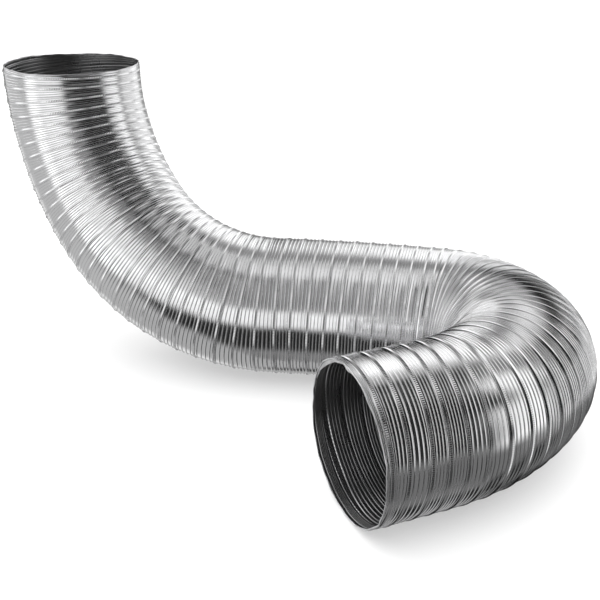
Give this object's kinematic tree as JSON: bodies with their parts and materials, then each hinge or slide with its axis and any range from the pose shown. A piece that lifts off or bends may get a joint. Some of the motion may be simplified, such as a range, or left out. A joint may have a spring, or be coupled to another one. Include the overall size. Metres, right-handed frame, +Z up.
{
  "type": "flexible air duct",
  "caption": "Semi-rigid spiral-wound aluminium air duct with open ends, laid in a U-turn on the floor with one end bent up.",
  "frame": {"origin": "on the floor, at the middle of the duct's bounding box", "axes": "+Z up; +X from the raised end towards the U-turn; the open mouth faces -X and -Y"},
  "size_m": [0.5238, 0.4556, 0.2716],
  "materials": {
    "foil": "bare bright rolled foil, corrugated, with knurled lock seams"
  },
  "bodies": {
    "mouth_1": {"mouth_1": "foil"},
    "mouth_2": {"mouth_2": "foil", "fold_01": "foil"},
    "mouth_3": {"mouth_3": "foil", "fold_02": "foil"},
    "mouth_4": {"mouth_4": "foil", "fold_03": "foil"},
    "turn_1": {"turn_1": "foil", "fold_04": "foil"},
    "turn_2": {"turn_2": "foil", "fold_05": "foil"},
    "turn_3": {"turn_3": "foil", "fold_06": "foil"},
    "turn_4": {"turn_4": "foil", "fold_07": "foil"},
    "turn_5": {"turn_5": "foil", "fold_08": "foil"},
    "turn_6": {"turn_6": "foil", "fold_09": "foil"},
    "run_1": {"run_1": "foil", "fold_10": "foil"},
    "run_2": {"run_2": "foil", "fold_11": "foil", "fold_12": "foil"},
    "run_3": {"run_3": "foil", "fold_13": "foil"},
    "run_4": {"run_4": "foil", "fold_14": "foil"},
    "riser_1": {"riser_1": "foil", "fold_15": "foil"},
    "riser_2": {"riser_2": "foil", "fold_16": "foil"},
    "riser_3": {"riser_3": "foil", "fold_17": "foil"},
    "riser_4": {"riser_4": "foil", "fold_18": "foil"},
    "riser_5": {"riser_5": "foil", "fold_19": "foil"},
    "riser_6": {"riser_6": "foil", "fold_20": "foil"},
    "riser_7": {"riser_7": "foil", "fold_21": "foil"},
    "riser_8": {"riser_8": "foil"}
  },
  "joints": [
    {"name": "mouth_tilt", "type": "hinge", "parent": "mouth_2", "child": "mouth_1", "pos_m": [0.0882, -0.15256, 0.064], "axis": [-0.3875, 0.9219, 0], "range_deg": [-10, 10], "deforming": ["fold_01"]},
    {"name": "mouth_draw", "type": "slide", "parent": "mouth_3", "child": "mouth_2", "axis": [-0.8783, -0.4781, 0], "range_m": [-0.006, 0.014], "deforming": ["fold_02"]},
    {"name": "front_swing", "type": "hinge", "parent": "mouth_4", "child": "mouth_3", "pos_m": [0.16041, -0.11087, 0.064], "axis": [-0.0083, 0.0087, 0.9999], "range_deg": [-6, 14], "deforming": ["fold_03"]},
    {"name": "turn_open_1", "type": "hinge", "parent": "turn_1", "child": "mouth_4", "pos_m": [0.18663, -0.07822, 0.064], "axis": [-0.0103, 0.0062, 0.9999], "range_deg": [-3, 16], "deforming": ["fold_04"]},
    {"name": "turn_open_2", "type": "hinge", "parent": "turn_2", "child": "turn_1", "pos_m": [0.19582, -0.05579, 0.064], "axis": [-0.0117, 0.0028, 0.9999], "range_deg": [-1, 17], "deforming": ["fold_05"]},
    {"name": "turn_open_3", "type": "hinge", "parent": "turn_3", "child": "turn_2", "pos_m": [0.1977, -0.03163, 0.064], "axis": [-0.012, -0.0009, 0.9999], "range_deg": [-1, 17], "deforming": ["fold_06"]},
    {"name": "turn_tilt", "type": "hinge", "parent": "turn_4", "child": "turn_3", "pos_m": [0.19209, -0.00805, 0.064], "axis": [-0.9252, -0.3795, 0], "range_deg": [-5, 5], "deforming": ["fold_07"]},
    {"name": "turn_open_4", "type": "hinge", "parent": "turn_5", "child": "turn_4", "pos_m": [0.17953, 0.01268, 0.064], "axis": [-0.0092, -0.0077, 0.9999], "range_deg": [-1, 17], "deforming": ["fold_08"]},
    {"name": "turn_open_5", "type": "hinge", "parent": "turn_6", "child": "turn_5", "pos_m": [0.16123, 0.02856, 0.064], "axis": [-0.0064, -0.0102, 0.9999], "range_deg": [-1, 17], "deforming": ["fold_09"]},
    {"name": "turn_open_6", "type": "hinge", "parent": "run_1", "child": "turn_6", "pos_m": [0.13894, 0.03807, 0.064], "axis": [-0.0029, -0.0116, 0.9999], "range_deg": [-4, 14], "deforming": ["fold_10"]},
    {"name": "run_tilt", "type": "hinge", "parent": "run_2", "child": "run_1", "pos_m": [0.10338, 0.04632, 0.064], "axis": [-0.2062, -0.9785, 0], "range_deg": [-9, 9], "deforming": ["fold_11"]},
    {"name": "run_draw", "type": "slide", "parent": "run_2", "child": "run_3", "axis": [-0.986, 0.1668, 0], "range_m": [-0.006, 0.012], "deforming": ["fold_12"]},
    {"name": "run_swing", "type": "hinge", "parent": "run_3", "child": "run_4", "pos_m": [0.03142, 0.05849, 0.064], "axis": [0.0015, 0.0119, -0.9999], "range_deg": [-9, 9], "deforming": ["fold_13"]},
    {"name": "riser_bend_1", "type": "hinge", "parent": "run_4", "child": "riser_1", "pos_m": [-0.00487, 0.0624, 0.064], "axis": [-0.0719, -0.822, 0.565], "range_deg": [-7, 12], "deforming": ["fold_14"]},
    {"name": "riser_bend_2", "type": "hinge", "parent": "riser_1", "child": "riser_2", "pos_m": [-0.04612, 0.06867, 0.06788], "axis": [-0.0719, -0.822, 0.565], "range_deg": [-7, 15], "deforming": ["fold_15"]},
    {"name": "riser_swing_1", "type": "hinge", "parent": "riser_2", "child": "riser_3", "pos_m": [-0.08485, 0.07991, 0.07931], "axis": [0.4769, 0.4691, 0.7433], "range_deg": [-9, 9], "deforming": ["fold_16"]},
    {"name": "riser_bend_3", "type": "hinge", "parent": "riser_3", "child": "riser_4", "pos_m": [-0.11909, 0.09557, 0.09772], "axis": [-0.0719, -0.822, 0.5649], "range_deg": [-7, 15], "deforming": ["fold_17"]},
    {"name": "riser_bend_4", "type": "hinge", "parent": "riser_4", "child": "riser_5", "pos_m": [-0.14713, 0.11484, 0.12219], "axis": [-0.0719, -0.822, 0.565], "range_deg": [-7, 15], "deforming": ["fold_18"]},
    {"name": "riser_draw", "type": "slide", "parent": "riser_5", "child": "riser_6", "axis": [-0.4538, 0.4144, 0.7889], "range_m": [-0.005, 0.012], "deforming": ["fold_19"]},
    {"name": "riser_bend_5", "type": "hinge", "parent": "riser_6", "child": "riser_7", "pos_m": [-0.18497, 0.14935, 0.18796], "axis": [-0.6397, -0.7678, 0.0354], "range_deg": [-7, 15], "deforming": ["fold_20"]},
    {"name": "riser_swing_2", "type": "hinge", "parent": "riser_7", "child": "riser_8", "pos_m": [-0.19483, 0.15939, 0.22745], "axis": [0.7527, -0.6163, 0.2314], "range_deg": [-9, 9], "deforming": ["fold_21"]}
  ]
}
